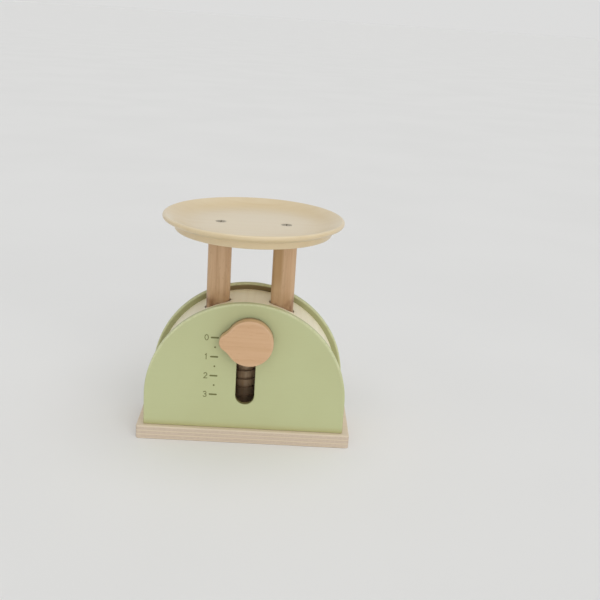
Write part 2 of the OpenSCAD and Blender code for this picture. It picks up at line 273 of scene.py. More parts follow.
def round_corners(points, radii, steps=6):
    """A path whose inner corners are rounded, one radius a point; 0 keeps a corner."""
    path = []
    for i, (point, radius) in enumerate(zip(points, radii)):
        here = Vector(point)
        if radius == 0 or i in (0, len(points) - 1):
            path.append(tuple(here))
            continue
        back = (Vector(points[i - 1]) - here).normalized()
        ahead = (Vector(points[i + 1]) - here).normalized()
        half = back.angle(ahead) / 2
        centre = here + (back + ahead).normalized() * radius / math.sin(half)
        first = here + back * radius / math.tan(half) - centre
        last = here + ahead * radius / math.tan(half) - centre
        turn = first.angle_signed(last)
        for step in range(steps + 1):
            spoke = first.copy()
            spoke.rotate(Matrix.Rotation(-turn * step / steps, 2))
            path.append(tuple(centre + spoke))
    return path


def rounded_rectangle(centre, width, depth, radius):
    """A rectangle with round corners, counter-clockwise."""
    x = width / 2 - radius
    y = depth / 2 - radius
    corners = [(x, y, 0), (-x, y, 90), (-x, -y, 180), (x, -y, 270)]
    outline = []
    for dx, dy, start in corners:
        corner = (centre[0] + dx, centre[1] + dy)
        outline += arc(corner, radius, start, start + 90, CORNER_STEPS)
    return outline


def arch_outline(radius, low_z):
    """The panels' outline in X and Z: a half-round on straight sides."""
    return [(radius, low_z)] + arc((0, ARCH_Z), radius, 0, 180, ARCH_STEPS) + [(-radius, low_z)]


def slot_outline():
    """The pointer slot in X and Z, from the last mark up to the zero mark."""
    radius = SLOT_W / 2
    top = arc((0, ZERO_Z), radius, 0, 180, SLOT_STEPS)
    bottom = arc((0, ZERO_Z - TRAVEL), radius, 180, 360, SLOT_STEPS)
    return top + bottom


def pointer_outline():
    """The pointer in X and Z: a round body and a blunt nose, joined by hollow flanks."""
    body_r = (POINTER_HIGH.z - POINTER_LOW.z) / 2
    body_x = POINTER_HIGH.x - body_r
    nose_x = body_x - POINTER_LOW.x - NOSE_R
    body_flank = body_r + FLANK_R
    nose_flank = NOSE_R + FLANK_R
    flank_x = (body_flank ** 2 - nose_flank ** 2 + nose_x ** 2) / (2 * nose_x)
    flank_z = math.sqrt(body_flank ** 2 - flank_x ** 2)
    on_body = math.degrees(math.atan2(flank_z, -flank_x))
    on_nose = math.degrees(math.atan2(flank_z, nose_x - flank_x))
    to_body = math.degrees(math.atan2(flank_z, flank_x))
    body = (body_x, ZERO_Z)
    nose = (body_x - nose_x, ZERO_Z)
    upper = (body_x - flank_x, ZERO_Z + flank_z)
    lower = (body_x - flank_x, ZERO_Z - flank_z)
    return (
        arc(body, body_r, -on_body, on_body, BODY_STEPS)
        + arc(upper, FLANK_R, -to_body, on_nose - 180, FLANK_STEPS)[1:-1]
        + arc(nose, NOSE_R, on_nose, 360 - on_nose, NOSE_STEPS)
        + arc(lower, FLANK_R, 180 - on_nose, to_body, FLANK_STEPS)[1:-1]
    )


def inset(outline, distance):
    """A counter-clockwise outline moved inwards, or outwards by a distance below zero."""
    moved = []
    for i, point in enumerate(outline):
        here = Vector(point)
        before = (here - Vector(outline[i - 1])).normalized()
        after = (Vector(outline[(i + 1) % len(outline)]) - here).normalized()
        left = Vector((-before.y - after.y, before.x + after.x))
        moved.append(tuple(here + left * distance / (1 + before.dot(after))))
    return moved


# Meshes

def upright(u, v, w):
    """Outline in X and Z, thickness along Y."""
    return (u, w, v)


def flat(u, v, w):
    """Outline in X and Y, thickness along Z."""
    return (u, v, w)


def new_mesh():
    """An empty mesh with the value that says how near an edge a point is, which carries worn edges and
    painted highlights.
    """
    bm = bmesh.new()
    bm.verts.layers.float.new("wear_and_highlight")
    return bm


def add_ring(bm, points, wear_and_highlight):
    """New points that carry one value for worn edges and painted highlights."""
    layer = bm.verts.layers.float["wear_and_highlight"]
    ring = [bm.verts.new(point) for point in points]
    for vert in ring:
        vert[layer] = wear_and_highlight
    return ring


def bridge(bm, ring_a, ring_b):
    """Four-sided faces between two closed rings of equal length."""
    count = len(ring_a)
    for i in range(count):
        j = (i + 1) % count
        bm.faces.new((ring_a[i], ring_a[j], ring_b[j], ring_b[i]))


def edge_sections(low, high, edge_r):
    """(inset, height, share of worn edge and painted highlight) from the low face, round both edges,
    to the high face.
    """
    turns = [math.radians(90 * i / EDGE_STEPS) for i in range(EDGE_STEPS + 1)]
    rounds = [(edge_r * (1 - math.sin(a)), edge_r * (1 - math.cos(a))) for a in turns]
    reach = min(WORN_AND_HIGHLIGHT_REACH, (high - low) / 2 - edge_r)
    side_reach = reach * WORN_AND_HIGHLIGHT_SIDE_SHARE
    sections = [(edge_r + reach, low, 0)]
    sections += [(d, low + h, 1) for d, h in rounds]
    sections += [(0, low + edge_r + side_reach, 0), (0, high - edge_r - side_reach, 0)]
    sections += [(d, high - h, 1) for d, h in reversed(rounds)]
    sections += [(edge_r + reach, high, 0)]
    return sections


def add_slab(bm, outline, low, high, edge_r, place, holes=()):
    """A plate with rounded edges and through holes, which all run counter-clockwise.

    Its two faces stay open: returns the edges that bound each, for close_faces."""
    faces = ([], [])
    for loop, side in [(outline, 1), *((hole, -1) for hole in holes)]:
        rings = []
        for distance, height, wear_and_highlight in edge_sections(low, high, edge_r):
            points = [place(u, v, height) for u, v in inset(loop, side * distance)]
            rings.append(add_ring(bm, points, wear_and_highlight))
        for ring_a, ring_b in zip(rings, rings[1:]):
            bridge(bm, ring_a, ring_b)
        add_bounds(bm, faces, rings[0], rings[-1])
    return faces


def add_bounds(bm, faces, low_ring, high_ring):
    """Adds a ring's edges to the bounds of the low face, and another's to the high face."""
    for face, ring in zip(faces, (low_ring, high_ring)):
        face.extend(bm.edges.get((ring[i - 1], ring[i])) for i in range(len(ring)))


def close_faces(bm, faces):
    """Fills each bound, and leaves the holes within it open."""
    for face in faces:
        bmesh.ops.triangle_fill(bm, use_beauty=True, edges=face)


def add_screw_hole(bm, faces, place, head, low, high, up):
    """A countersunk hole along Z, with its wide end at the high face or, if not up, the low one."""
    head_r = head / 2
    start, end, way = (high, low, -1) if up else (low, high, 1)
    profile = [
        (head_r + HOLE_EDGE_R, start),
        (head_r, start + way * HOLE_EDGE_R),
        (SCREW_D / 2, start + way * (head_r - SCREW_D / 2)),
        (SCREW_D / 2, end),
    ]
    rings = add_lathe(bm, profile, SCREW_STEPS, wear_and_highlight_values=[1, 1, 0, 0], centre=place)
    wide, narrow = rings[0], rings[-1]
    add_bounds(bm, faces, narrow if up else wide, wide if up else narrow)


def add_lathe(bm, profile, steps, wear_and_highlight_values, centre=(0, 0)):
    """A turned surface from (radius, height) points, open at both ends; returns its rings."""
    rings = []
    for (radius, height), wear_and_highlight in zip(profile, wear_and_highlight_values):
        points = [(x, y, height) for x, y in circle(centre, radius, steps)]
        rings.append(add_ring(bm, points, wear_and_highlight))
    for ring_a, ring_b in zip(rings, rings[1:]):
        bridge(bm, ring_a, ring_b)
    return rings


def make_piece(name, bm, material, body, nodes=()):
    """Turns a finished bmesh into a piece that rides on a body and stands for solids."""
    bmesh.ops.recalc_face_normals(bm, faces=bm.faces)
    for face in bm.faces:
        face.smooth = True
    for edge in bm.edges:
        edge.smooth = edge.calc_face_angle(0) < math.radians(SHARP_ANGLE)
    mesh = bpy.data.meshes.new(name)
    bm.to_mesh(mesh)
    bm.free()
    piece = bpy.data.objects.new(name, mesh)
    bpy.context.scene.collection.objects.link(piece)
    mesh.materials.append(material)
    weighted = piece.modifiers.new("even shading", "WEIGHTED_NORMAL")
    weighted.keep_sharp = True
    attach(piece, body)
    if nodes:
        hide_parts(*nodes)
    return piece


# Materials

class Shader:
    """One material's nodes, laid out by short calls. Places are in the object's metres."""

    def __init__(self, name):
        self.material = bpy.data.materials.new(name)
        self.material.use_nodes = True
        self.tree = self.material.node_tree
        self.tree.nodes.clear()
        output = self.tree.nodes.new("ShaderNodeOutputMaterial")
        self.bsdf = self.tree.nodes.new("ShaderNodeBsdfPrincipled")
        self.join(self.bsdf.outputs[0], output.inputs["Surface"])
        self.place = self.node("TexCoord").outputs["Object"]

    def join(self, source, target):
        """Links an output to an input."""
        self.tree.links.new(source, target)

    def node(self, kind, **settings):
        """A new node, with its settings."""
        made = self.tree.nodes.new("ShaderNode" + kind)
        for key, value in settings.items():
            setattr(made, key, value)
        return made

    def fill(self, target, value):
        """Sets an input to a constant, or links a socket to it."""
        if isinstance(value, bpy.types.NodeSocket):
            self.join(value, target)
        else:
            target.default_value = value

    def surface(self, **values):
        """Sets the surface's own inputs; an underscore stands for a space."""
        for key, value in values.items():
            self.fill(self.bsdf.inputs[key.replace("_", " ")], value)

    def math(self, operation, a, b=0.0):
        """The result of a sum on one or two values."""
        made = self.node("Math", operation=operation)
        self.fill(made.inputs[0], a)
        self.fill(made.inputs[1], b)
        return made.outputs[0]

    def stretched(self, scale, shift):
        """The place, scaled by a factor for each axis and then shifted."""
        made = self.node("Mapping")
        self.join(self.place, made.inputs["Vector"])
        made.inputs["Scale"].default_value = scale
        made.inputs["Location"].default_value = shift
        return made.outputs[0]

    def noise(self, scale, shift=(0, 0, 0), detail=2.0, roughness=0.5):
        """Smooth noise from 0 to 1, with a scale per metre for each axis or for all three."""
        if not isinstance(scale, tuple):
            scale = (scale, scale, scale)
        vector = self.stretched(scale, shift)
        made = self.node("TexNoise")
        self.join(vector, made.inputs["Vector"])
        made.inputs["Scale"].default_value = 1.0
        made.inputs["Detail"].default_value = detail
        made.inputs["Roughness"].default_value = roughness
        return made.outputs["Fac"]

    def axes(self, vector=None):
        """X, Y and Z of a vector, or of the place."""
        made = self.node("SeparateXYZ")
        self.join(vector or self.place, made.inputs[0])
        return made.outputs

    def spread(self, value, low, high, to_low=0.0, to_high=1.0):
        """Takes low..high to to_low..to_high smoothly, and clamps; low may be the larger."""
        made = self.node("MapRange", interpolation_type="SMOOTHSTEP")
        self.fill(made.inputs["Value"], value)
        made.inputs["From Min"].default_value = low
        made.inputs["From Max"].default_value = high
        made.inputs["To Min"].default_value = to_low
        made.inputs["To Max"].default_value = to_high
        return made.outputs["Result"]

    def mix(self, share, a, b):
        """A colour between a and b."""
        made = self.node("Mix", data_type="RGBA")
        self.fill(made.inputs["Factor"], share)
        self.fill(made.inputs[6], a)
        self.fill(made.inputs[7], b)
        return made.outputs[2]

    def bump(self, height, distance):
        """A normal for relief whose height of 1 stands for a distance."""
        made = self.node("Bump")
        made.inputs["Strength"].default_value = 1.0
        made.inputs["Distance"].default_value = distance
        self.join(height, made.inputs["Height"])
        return made.outputs["Normal"]

    def wear_and_highlight(self):
        """How near the point is to an edge, from 0 to 1, for worn edges and painted highlights; on the
        dish, the rim's top.
        """
        made = self.node("Attribute", attribute_name="wear_and_highlight", attribute_type="GEOMETRY")
        return made.outputs["Fac"]


def arch_radius(shader):
    """Distance from the arch's axis, or from its middle plane below the half-round."""
    xyz = shader.axes()
    rise = shader.math("MAXIMUM", shader.math("SUBTRACT", xyz["Z"], ARCH_Z), 0.0)
    squares = shader.math("ADD", shader.math("POWER", xyz["X"], 2), shader.math("POWER", rise, 2))
    return shader.math("SQRT", squares)


def grain_scale(axis, across, along):
    """Texture scale for a grain that runs along one axis."""
    return tuple(along if i == "XYZ".index(axis) else across for i in range(3))


def wood_layers(shader, axis, light, dark, shift, ring_w, ring_depth=0.5, ring_lean=(0.55, 1.0),
                fleck_depth=0.0, fleck_colour=None, fibre_depth=0.25):
    """Colour and relief of wood: growth rings, long streaks, fibres and ray flecks.

    ring_lean says how fast the rings pass along each of the two axes across the grain."""
    wander = shader.noise(grain_scale(axis, *RING_WANDER_SCALE), shift, detail=3)
    cross = [c for c in "XYZ" if c != axis]
    xyz = shader.axes(shader.stretched((1, 1, 1), tuple(RING_SHIFT * s for s in shift)))
    leans = [shader.math("MULTIPLY", xyz[name], lean) for name, lean in zip(cross, ring_lean)]
    ring_place = shader.math("ADD", leans[0], leans[1])
    drift = shader.math("MULTIPLY", wander, RING_WANDER * ring_w)
    turns = shader.math("DIVIDE", shader.math("ADD", ring_place, drift), ring_w)
    saw = shader.math("FRACT", turns)
    ring = shader.math("MULTIPLY", shader.spread(saw, 0.15, 0.9), shader.spread(saw, 1.0, 0.9))
    streak = shader.noise(grain_scale(axis, *STREAK_SCALE), shift, detail=4, roughness=0.6)
    fibre = shader.noise(grain_scale(axis, *FIBRE_SCALE), shift, roughness=0.7)
    tone = shader.math("MULTIPLY", ring, ring_depth)
    tone = shader.math("ADD", tone, shader.spread(streak, 0.3, 0.75, 0, 0.55))
    tone = shader.math("ADD", tone, shader.spread(fibre, 0.35, 0.75, -fibre_depth / 2, fibre_depth))
    colour = shader.mix(shader.spread(tone, 0, 1.2), light, dark)
    relief = fibre
    if fleck_depth:
        cells = shader.noise(grain_scale(axis, *FLECK_SCALE), shift, detail=1)
        fleck = shader.spread(cells, 0.66, 0.74, 0, fleck_depth)
        colour = shader.mix(fleck, colour, fleck_colour)
        relief = shader.math("SUBTRACT", fibre, shader.math("MULTIPLY", fleck, 0.6))
    return colour, relief


def lacquered_wood(name, axis, light, dark, roughness=0.42, coat=0.25, relief_depth=WOOD_RELIEF,
                   edge_colour=None, marks=None, **layers):
    """Solid wood under lacquer, with edges that have been handled."""
    shader = Shader(name)
    colour, relief = wood_layers(shader, axis, light, dark, **layers)
    smudge = shader.noise(30, detail=3)
    if edge_colour:
        rub_and_painted_light = shader.math("MULTIPLY", shader.wear_and_highlight(), shader.spread(smudge, 0.35, 0.7, 0.15, 0.7))
        colour = shader.mix(rub_and_painted_light, colour, edge_colour)
    if marks:
        colour = marks(shader, colour)
    shader.surface(
        Base_Color=colour,
        Roughness=shader.spread(smudge, 0.25, 0.75, roughness - 0.06, roughness + 0.1),
        Coat_Weight=coat,
        Coat_Roughness=0.25,
        Normal=shader.bump(relief, relief_depth),
    )
    return shader.material


def post_marks(shader, colour):
    """Darker heartwood with painted shade along the right post's upper left part, lighter sapwood with
    painted light along its right part, and rubbing marks with painted shade by the slots.
    """
    xyz = shader.axes()
    wander = shader.noise(grain_scale("Z", *HEART_SHADE_SCALE))
    across = shader.math("ADD", xyz["X"], shader.math("MULTIPLY", wander, HEART_SHADE_WANDER))
    on_right_post = shader.spread(across, 0, 1 * MM)
    # Painted shade with the heartwood on the right post's upper left part, painted light with the
    # sapwood on its right part
    heart_and_shade = shader.math("MULTIPLY", shader.spread(across, *HEART_SHADE_X), on_right_post)
    heart_and_shade = shader.math("MULTIPLY", heart_and_shade, shader.spread(xyz["Z"], *HEART_SHADE_Z))
    sap_and_light = shader.spread(across, *SAP_LIGHT_X, to_low=0, to_high=0.3)
    colour = shader.mix(sap_and_light, colour, SAPWOOD_AND_LIGHT)
    colour = shader.mix(shader.math("MULTIPLY", heart_and_shade, 0.8), colour, HEARTWOOD_AND_SHADE)
    # Darker towards the posts' feet by the cover: rubbing marks and painted shade
    cloud = shader.noise(grain_scale("Z", *RUB_AND_SHADE_SCALE), shift=(0.4, 0, 0), detail=3)
    low = shader.spread(xyz["Z"], *RUB_AND_SHADE_Z)
    rub_and_painted_light = shader.math("MULTIPLY", low, shader.spread(cloud, 0.4, 0.62, 0.25, 0.85))
    return shader.mix(rub_and_painted_light, colour, RUB_AND_SHADE_BROWN)


def beech():
    """Posts: upright grain, brown streaks."""
    return lacquered_wood(
        "beech_upright", "Z", light=srgb(209, 175, 138), dark=srgb(186, 147, 108),
        shift=(3.1, 0.4, 1.2), ring_w=5 * MM, ring_depth=0.3, fleck_depth=0.2,
        fleck_colour=srgb(150, 104, 68), edge_colour=srgb(206, 170, 132), marks=post_marks)


def dowel_marks(shader, colour):
    """Painted shade, heavier towards the dowel's foot."""
    dowel_shade = shader.spread(shader.axes()["Z"], *DOWEL_SHADE_Z, to_low=0, to_high=0.5)
    return shader.mix(dowel_shade, colour, DOWEL_SHADE_BROWN)


def beech_dowel():
    """Guide dowel: upright grain, with painted shade towards its foot."""
    return lacquered_wood(
        "beech_dowel", "Z", light=srgb(222, 192, 156), dark=srgb(202, 166, 128),
        shift=(7.7, 1.4, 2.2), ring_w=3 * MM, ring_depth=0.4, fleck_depth=0.3,
        fleck_colour=srgb(150, 108, 76), coat=0, marks=dowel_marks)


def beech_lengthwise():
    """Peg and spacer dowels: grain from front to back."""
    return lacquered_wood(
        "beech_lengthwise", "Y", light=srgb(206, 170, 132), dark=srgb(166, 124, 88),
        shift=(1.7, 5.4, 0.2), ring_w=3 * MM, ring_depth=0.5, fleck_depth=0.4,
        fleck_colour=srgb(130, 88, 58), coat=0)


def pointer_marks(shader, colour):
    """Painted shadow along the pointer's back edge, for the shadow in the gap by the panel."""
    near = shader.spread(shader.axes()["Y"], *GAP_SHADOW_Y, to_low=0, to_high=0.85)
    return shader.mix(near, colour, POINTER_GAP_SHADOW)


def pointer_wood():
    """Pointer: level grain, short brown flecks."""
    return lacquered_wood(
        "pointer_beech", "X", light=srgb(218, 178, 137), dark=srgb(206, 162, 120),
        shift=(0.6, 2.4, 5.0), ring_w=6 * MM, ring_depth=0.25, fleck_depth=0.22,
        fleck_colour=srgb(190, 138, 96), fibre_depth=0.15, edge_colour=srgb(220, 184, 148),
        marks=pointer_marks)


def pine():
    """Blocks inside the housing: raw pine with strong rings."""
    return lacquered_wood(
        "pine_blocks", "X", light=srgb(222, 192, 148), dark=srgb(188, 144, 96),
        shift=(4.4, 0.3, 2.8), ring_w=4 * MM, ring_depth=0.9, roughness=0.6, coat=0,
        relief_depth=ROUGH_WOOD_RELIEF)


def dish_wood():
    """Dish: cream wood under gloss lacquer, warmer up the wall with painted bounce light, with a
    painted highlight on the rim's top and faint turning marks.
    """
    shader = Shader("dish_lacquer")
    layers = {"shift": (2.0, 8.1, 0.7), "ring_w": 9 * MM, "ring_depth": 0.12, "fibre_depth": 0.12}
    pale, relief = wood_layers(
        shader, "X", light=srgb(230, 214, 183), dark=srgb(225, 205, 170), **layers)
    bounce_amber, _ = wood_layers(
        shader, "X", light=srgb(224, 204, 166), dark=srgb(217, 194, 152), **layers)
    smudge = shader.noise(26, detail=3)
    xyz = shader.axes()
    squares = shader.math("ADD", shader.math("POWER", xyz["X"], 2), shader.math("POWER", xyz["Y"], 2))
    radius = shader.math("SQRT", squares)
    gathered = shader.math("ADD", radius, shader.math("MULTIPLY", smudge, WARM_WANDER))
    # Warmer up the wall: painted bounce light between the dish's walls
    colour = shader.mix(shader.spread(gathered, *WARM_R), pale, bounce_amber)
    # Lighter cream on the rim's top: a painted highlight
    rub_and_painted_light = shader.math("MULTIPLY", shader.wear_and_highlight(), shader.spread(smudge, 0.35, 0.7, 0.2, 0.7))
    colour = shader.mix(rub_and_painted_light, colour, RIM_HIGHLIGHT_CREAM)
    turning = shader.math("SINE", shader.math("MULTIPLY", radius, math.tau / TURNING_PITCH))
    relief = shader.math("ADD", relief, shader.math("MULTIPLY", turning, 0.12))
    shader.surface(
        Base_Color=colour,
        Roughness=shader.spread(smudge, 0.25, 0.75, 0.3, 0.42),
        Coat_Weight=0.4,
        Coat_Roughness=0.12,
        Normal=shader.bump(relief, DISH_RELIEF),
    )
    return shader.material


def layered_wood(name, layer, count, light, dark, cross_light, cross_dark, axes=("X", "Y")):
    """Plywood: plies with the grain turned from each to the next, and dark glue lines.

    layer takes the shader and gives the place in the stack, from 0 to count."""
    shader = Shader(name)
    stack = layer(shader)
    along, along_relief = wood_layers(
        shader, axes[0], light, dark, shift=(1.3, 4.4, 0.9), ring_w=7 * MM,
        ring_depth=0.25, ring_lean=(1, 0.05), fibre_depth=0.2)
    across, across_relief = wood_layers(
        shader, axes[1], cross_light, cross_dark, shift=(5.1, 0.2, 3.3), ring_w=5 * MM,
        ring_depth=0.15, ring_lean=(1, 0.05), fibre_depth=0.3)
    turned = shader.math("GREATER_THAN", shader.math("MODULO", stack, 2.0), 1.0)
    colour = shader.mix(turned, along, across)
    nearest = shader.math("ROUND", stack)
    gap = shader.math("ABSOLUTE", shader.math("SUBTRACT", stack, nearest))
    # 1 within the stack and 0 near its two outer faces, which have no glue line
    inner = shader.math("COMPARE", stack, count / 2)
    inner.node.inputs[2].default_value = count / 2 - 0.5
    ragged = shader.noise(400)
    line = shader.math("MULTIPLY", shader.spread(gap, 0.13, 0.04), inner)
    line = shader.math("MULTIPLY", line, shader.spread(ragged, 0.3, 0.6, 0.15, 0.5))
    colour = shader.mix(line, colour, GLUE_LINE)
    relief = shader.mix(turned, along_relief, across_relief)
    smudge = shader.noise(24, detail=3)
    shader.surface(
        Base_Color=colour,
        Roughness=shader.spread(smudge, 0.25, 0.75, 0.42, 0.58),
        Coat_Weight=0.12,
        Coat_Roughness=0.3,
        Normal=shader.bump(relief, PLY_RELIEF),
    )
    return shader.material


def stack_place(shader, depth, thickness, count):
    """Depth in plies, kept off the outer faces so that rounding can't take it past them."""
    place = shader.math("DIVIDE", depth, thickness / count)
    return shader.math("MINIMUM", shader.math("MAXIMUM", place, 0.01), count - 0.01)


def base_layer(shader):
    """Place in the base board's plies, upwards."""
    height = shader.math("SUBTRACT", shader.axes()["Z"], BASE_LOW.z)
    return stack_place(shader, height, BASE_HIGH.z - BASE_LOW.z, PLY_COUNT)


def cover_layer(shader):
    """Place in the bent strip's plies, outwards from its hollow side."""
    depth = shader.math("SUBTRACT", arch_radius(shader), COVER_HIGH.x - COVER_T)
    return stack_place(shader, depth, COVER_T, COVER_PLY_COUNT)


def plywood():
    """Base board: flat birch plywood."""
    return layered_wood(
        "birch_plywood", base_layer, PLY_COUNT,
        light=srgb(223, 207, 184), dark=srgb(214, 196, 172),
        cross_light=srgb(214, 196, 176), cross_dark=srgb(203, 184, 165))


def bent_plywood():
    """Cover: a thin strip bent over the arch, with its outer grain from front to back."""
    return layered_wood(
        "bent_plywood", cover_layer, COVER_PLY_COUNT,
        light=srgb(250, 243, 215), dark=srgb(243, 233, 203),
        cross_light=srgb(226, 210, 184), cross_dark=srgb(210, 190, 162), axes=("Y", "X"))


def slot_wall_shade(shader, xyz):
    """1 on the slot's wall behind its rounded edge, where painted shade darkens it."""
    near = shader.math("LESS_THAN", shader.math("ABSOLUTE", xyz["X"]), SLOT_W / 2 + PANEL_EDGE_R / 4)
    middle_z = ZERO_Z - TRAVEL / 2
    off_middle = shader.math("ABSOLUTE", shader.math("SUBTRACT", xyz["Z"], middle_z))
    level = shader.math("LESS_THAN", off_middle, (TRAVEL + SLOT_W) / 2 + PANEL_EDGE_R / 4)
    deep = shader.spread(xyz["Y"], FRONT_LOW.y + PANEL_EDGE_R / 2, FRONT_LOW.y + 2 * PANEL_EDGE_R)
    front = shader.math("LESS_THAN", xyz["Y"], 0.0)
    inside = shader.math("MULTIPLY", near, level)
    return shader.math("MULTIPLY", inside, shader.math("MULTIPLY", deep, front))


def green_paint():
    """Panels: pale green satin paint, thinner and lighter along the edges with a painted highlight,
    with painted shade at the foot, in the slot and in the back panel's corner by the cover, over wood
    left bare inside.
    """
    shader = Shader("pale_green_paint")
    cloud = shader.noise(9, shift=(2.2, 0.5, 1.0), detail=4)
    body = shader.mix(shader.spread(cloud, 0.3, 0.7), PAINT, PAINT_CLOUD)
    fibre = shader.noise(grain_scale("X", 900, 30), roughness=0.6)
    body = shader.mix(shader.spread(fibre, 0.4, 0.8, 0, 0.12), body, PAINT_FIBRE)
    ragged = shader.noise(350, detail=4, roughness=0.65)
    radius = arch_radius(shader)
    xyz = shader.axes()
    # Lighter along the arch's outer edge: thinned paint with a painted highlight; chips of bare wood
    edge = shader.math("MULTIPLY", shader.wear_and_highlight(), shader.spread(radius, *WORN_AND_LIT_EDGE_R))
    edge = shader.math("MULTIPLY", edge, shader.spread(xyz["Z"], *WORN_AND_LIT_EDGE_Z, to_low=0.1))
    thin_and_highlight = shader.math("MULTIPLY", edge, shader.spread(ragged, 0.3, 0.7, 0.25, 0.85))
    body = shader.mix(thin_and_highlight, body, THIN_PAINT_AND_HIGHLIGHT)
    chips = shader.math("MULTIPLY", edge, shader.spread(ragged, 0.7, 0.74))
    body = shader.mix(chips, body, CHIPPED_WOOD)
    # Painted shade on the slot's wall
    body = shader.mix(slot_wall_shade(shader, xyz), body, SLOT_SHADE_OLIVE)
    # Painted shade towards the panels' foot
    foot = shader.spread(xyz["Z"], FOOT_SHADE_TOP, FRONT_LOW.z, 0, 0.45)
    body = shader.mix(foot, body, FOOT_SHADE_YELLOW)
    depth = shader.math("ABSOLUTE", xyz["Y"])
    inner_face = shader.math("LESS_THAN", depth, BACK_LOW.y + PANEL_EDGE_R / 3)
    behind = shader.math("GREATER_THAN", xyz["Y"], 0.0)
    # Painted shade and shadow in the back panel's corner by the cover: brown between the posts, green
    # to the sides
    corner_shade = shader.spread(radius, ARCH_R - CORNER_CLEAN, COVER_HIGH.x + CORNER_DARK)
    corner_shade = shader.math("MULTIPLY", corner_shade, shader.math("MULTIPLY", inner_face, behind))
    sideways = shader.spread(shader.math("ABSOLUTE", xyz["X"]), *CORNER_X)
    corner_shade = shader.math("MULTIPLY", corner_shade, shader.spread(sideways, 0, 1, 0.9, 0.5))
    corner_shade_colour = shader.mix(sideways, CORNER_SHADOW_BROWN, CORNER_SHADE_GREEN)
    body = shader.mix(corner_shade, body, corner_shade_colour)
    bare, _ = wood_layers(
        shader, "X", light=srgb(232, 214, 180), dark=srgb(214, 190, 152),
        shift=(0.7, 6.1, 3.9), ring_w=6 * MM)
    hidden = shader.math("MULTIPLY", inner_face, shader.math("LESS_THAN", radius, COVER_HIGH.x))
    body = shader.mix(hidden, body, bare)
    peel = shader.noise(520)
    relief = shader.math("ADD", peel, shader.math("MULTIPLY", fibre, 0.5))
    shader.surface(
        Base_Color=body,
        Roughness=shader.spread(cloud, 0.25, 0.75, 0.46, 0.58),
        Specular_IOR_Level=0.4,
        Normal=shader.bump(relief, PAINT_RELIEF),
    )
    return shader.material


def ink():
    """The printed scale: olive ink with small gaps."""
    shader = Shader("olive_ink")
    speckle = shader.noise(2600)
    thin_and_highlight = shader.spread(speckle, 0.45, 0.75, 0, 0.35)
    colour = shader.mix(thin_and_highlight, INK, THIN_INK)
    shader.surface(Base_Color=colour, Roughness=shader.spread(speckle, 0.3, 0.7, 0.45, 0.6))
    return shader.material


def steel(name, bright, dull, roughness, scratch_scale, metallic):
    """Metal with fine scratches and dull patches."""
    shader = Shader(name)
    patch = shader.noise(180, detail=4)
    scratch = shader.noise(scratch_scale, roughness=0.7)
    shader.surface(
        Base_Color=shader.mix(shader.spread(patch, 0.3, 0.7), bright, dull),
        Metallic=metallic,
        Roughness=shader.spread(patch, 0.2, 0.8, roughness - 0.08, roughness + 0.12),
        Normal=shader.bump(scratch, SCRATCH_RELIEF),
    )
    return shader.material


def screw_steel():
    """Screws: dull zinc plating."""
    return steel(
        "screw_steel", bright=srgb(212, 203, 184), dull=srgb(184, 175, 156), roughness=0.5,
        scratch_scale=900, metallic=0.7)


def spring_steel():
    """Spring: dull brown drawn wire."""
    return steel(
        "spring_steel", bright=srgb(170, 142, 114), dull=srgb(142, 114, 88), roughness=0.55,
        scratch_scale=(300, 300, 4000), metallic=0.2)


def washer_steel():
    """Washers: bare steel."""
    return steel(
        "washer_steel", bright=srgb(150, 150, 148), dull=srgb(120, 119, 116), roughness=0.35,
        scratch_scale=(1200, 1200, 60), metallic=1.0)


# Pieces

def base_board(material):
    """The base, with its screws' holes open underneath."""
    bm = new_mesh()
    size = BASE_HIGH - BASE_LOW
    outline = rounded_rectangle((0, 0), size.x, size.y, BASE_CORNER_R)
    faces = add_slab(bm, outline, BASE_LOW.z, BASE_HIGH.z, BASE_EDGE_R, flat)
    for place in BASE_SCREWS:
        add_screw_hole(bm, faces, place, BASE_SCREW_HEAD, BASE_LOW.z, BASE_HIGH.z, up=False)
    close_faces(bm, faces)
    make_piece("base_board_ply", bm, material, HOUSING, ["base_board"])


def front_panel(material):
    """The painted arch with the pointer's slot."""
    bm = new_mesh()
    outline = arch_outline(ARCH_R, FRONT_LOW.z)
    faces = add_slab(bm, outline, FRONT_LOW.y, FRONT_HIGH.y, PANEL_EDGE_R, upright, [slot_outline()])
    close_faces(bm, faces)
    make_piece("front_panel_painted", bm, material, HOUSING, ["front_panel"])


def back_panel(material):
    """The painted arch without a slot."""
    bm = new_mesh()
    outline = arch_outline(ARCH_R, BACK_LOW.z)
    close_faces(bm, add_slab(bm, outline, BACK_LOW.y, BACK_HIGH.y, PANEL_EDGE_R, upright))
    make_piece("back_panel_painted", bm, material, HOUSING, ["back_panel"])


def dish_profile():
    """The dish's section as (radius, height), from its flat underside round to its flat floor."""
    low = DISH_LOW.z
    rim_r = DISH_RIM_T / 2
    rim = (DISH_R - rim_r, DISH_HIGH.z - rim_r)
    floor_z = low + DISH_FLOOR_T
    reach_x = rim[0] - DISH_FLOOR_R
    reach_z = rim[1] - floor_z
    reach = math.hypot(reach_x, reach_z)
    wall = math.degrees(math.atan2(reach_z, reach_x) + math.asin(rim_r / reach))
    rim_round = arc(rim, rim_r, RIM_START, 90 + wall, RIM_STEPS)
    under = [(DISH_FLAT_R, low), (DISH_FOOT_R, low), (DISH_FOOT_R, low + DISH_FOOT_H), rim_round[0]]
    under = round_corners(under, [0, FOOT_EDGE_R, FOOT_EDGE_R, 0])
    inner = [rim_round[-1], (DISH_FLOOR_R, floor_z), (DISH_FLAT_R, floor_z)]
    inner = round_corners(inner, [0, FLOOR_BLEND_R, 0], FLOOR_BLEND_STEPS)
    return under + rim_round[1:] + inner[1:]


